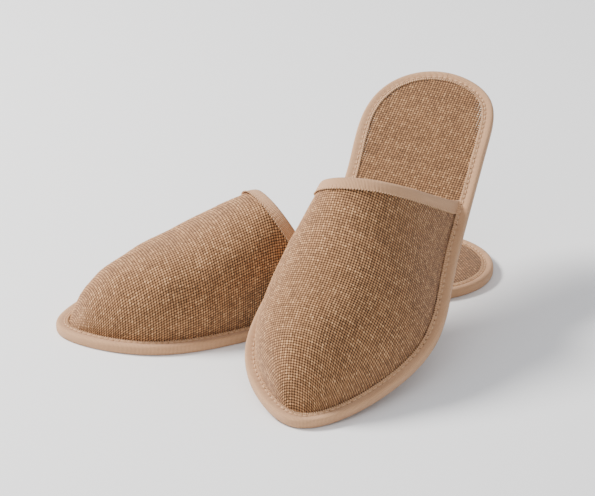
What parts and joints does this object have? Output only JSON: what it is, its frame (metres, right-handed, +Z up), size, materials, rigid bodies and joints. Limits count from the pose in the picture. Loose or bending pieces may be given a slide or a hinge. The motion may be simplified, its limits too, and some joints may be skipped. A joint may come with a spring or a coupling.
{
  "type": "closed-toe spa slippers",
  "caption": "Pair of closed-toe slippers in woven jute with bound flat soles: one lies flat, the other leans on its upper.",
  "frame": {"origin": "middle of the pair's bounding box, on the surface that the pair stands on", "axes": "+X along the flat right slipper from its heel to its toe, +Z up"},
  "size_m": [0.2802, 0.2192, 0.1199],
  "materials": {
    "burlap": "plain-woven jute, matte and slightly hairy",
    "tape": "fine ribbed polyester binding tape, matte",
    "thread": "spun sewing thread",
    "lining": "non-woven lining, matte",
    "padding": "thin soft sponge",
    "foam": "closed-cell foam, matte",
    "outsole": "thin foam rubber with small grip dots, matte"
  },
  "bodies": {
    "right_forefoot": {"right_outsole_front": "outsole", "right_foam_sole_front": "foam", "right_insole_cover_front": "burlap", "right_rim_binding_front": "tape", "right_rim_stitching_front": "thread", "right_upper_burlap": "burlap", "right_upper_padding": "padding", "right_upper_lining": "lining", "right_throat_binding": "tape", "right_throat_stitching": "thread"},
    "right_heel": {"right_outsole_heel": "outsole", "right_foam_sole_heel": "foam", "right_insole_cover_heel": "burlap", "right_rim_binding_heel": "tape", "right_rim_stitching_heel": "thread"},
    "left_forefoot": {"left_outsole_front": "outsole", "left_foam_sole_front": "foam", "left_insole_cover_front": "burlap", "left_rim_binding_front": "tape", "left_rim_stitching_front": "thread", "left_upper_burlap": "burlap", "left_upper_padding": "padding", "left_upper_lining": "lining", "left_throat_binding": "tape", "left_throat_stitching": "thread"},
    "left_heel": {"left_outsole_heel": "outsole", "left_foam_sole_heel": "foam", "left_insole_cover_heel": "burlap", "left_rim_binding_heel": "tape", "left_rim_stitching_heel": "thread"}
  },
  "joints": [
    {"name": "right_sole_flex", "type": "hinge", "parent": "right_forefoot", "child": "right_heel", "pos_m": [-0.06, -0.05331, 0.0031], "axis": [0, 1, 0], "range_deg": [0, 40], "stiffness_Nm_per_rad": 0.3},
    {"name": "left_lift", "type": "slide", "parent": "right_forefoot", "child": "left_forefoot", "axis": [0, 0, 1], "range_m": [0, 0.2]},
    {"name": "left_sole_flex", "type": "hinge", "parent": "left_forefoot", "child": "left_heel", "pos_m": [-0.07524, -0.02948, 0.0802], "axis": [-0.7448, 0.664, -0.0656], "range_deg": [0, 45], "stiffness_Nm_per_rad": 0.3}
  ]
}
